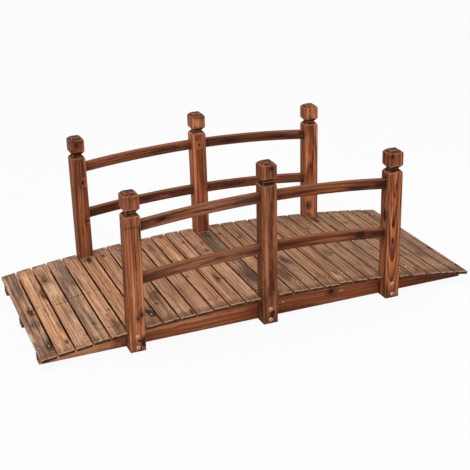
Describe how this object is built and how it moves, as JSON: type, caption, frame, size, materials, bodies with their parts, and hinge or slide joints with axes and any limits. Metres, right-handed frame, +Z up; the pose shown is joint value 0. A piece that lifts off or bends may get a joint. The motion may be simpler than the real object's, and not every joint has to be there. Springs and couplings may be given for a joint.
{
  "type": "garden moon bridge",
  "caption": "Small wooden garden bridge with an arched plank deck on flat-footed arched stringers and arched two-rail railings between notched square posts.",
  "frame": {"origin": "on the ground, under the middle of the deck", "axes": "+X along the walk from the left end to the right end, +Y across to the far railing, +Z up"},
  "size_m": [1.51, 0.6816, 0.551],
  "materials": {
    "deck_softwood": "torch-browned softwood, lightly stained, matt",
    "post_softwood": "torch-browned softwood, red-brown stain, matt",
    "rail_softwood": "torch-browned softwood, dark red-brown stain, matt",
    "stained_softwood": "torch-browned softwood, dark red-brown stain, matt",
    "zinc_plated_steel": "zinc plated, satin"
  },
  "bodies": {
    "root": {"stringer_near": "stained_softwood", "stringer_middle": "stained_softwood", "stringer_far": "stained_softwood", "deck_board_01": "deck_softwood", "deck_board_02": "deck_softwood", "deck_board_03": "deck_softwood", "deck_board_04": "deck_softwood", "deck_board_05": "deck_softwood", "deck_board_06": "deck_softwood", "deck_board_07": "deck_softwood", "deck_board_08": "deck_softwood", "deck_board_09": "deck_softwood", "deck_board_10": "deck_softwood", "deck_board_11": "deck_softwood", "deck_board_12": "deck_softwood", "deck_board_13": "deck_softwood", "deck_board_14": "deck_softwood", "deck_board_15": "deck_softwood", "deck_board_16": "deck_softwood", "deck_board_17": "deck_softwood", "deck_board_18": "deck_softwood", "deck_board_19": "deck_softwood", "deck_board_20": "deck_softwood", "deck_board_21": "deck_softwood", "deck_board_22": "deck_softwood", "deck_board_23": "deck_softwood", "deck_board_24": "deck_softwood", "deck_board_25": "deck_softwood", "deck_board_26": "deck_softwood", "deck_board_27": "deck_softwood", "post_near_left": "post_softwood", "post_near_middle": "post_softwood", "post_near_right": "post_softwood", "post_far_left": "post_softwood", "post_far_middle": "post_softwood", "post_far_right": "post_softwood", "rail_near_left_upper": "rail_softwood", "rail_near_left_lower": "rail_softwood", "rail_near_right_upper": "rail_softwood", "rail_near_right_lower": "rail_softwood", "rail_far_left_upper": "rail_softwood", "rail_far_left_lower": "rail_softwood", "rail_far_right_upper": "rail_softwood", "rail_far_right_lower": "rail_softwood", "post_bolts": "zinc_plated_steel"}
  },
  "joints": []
}
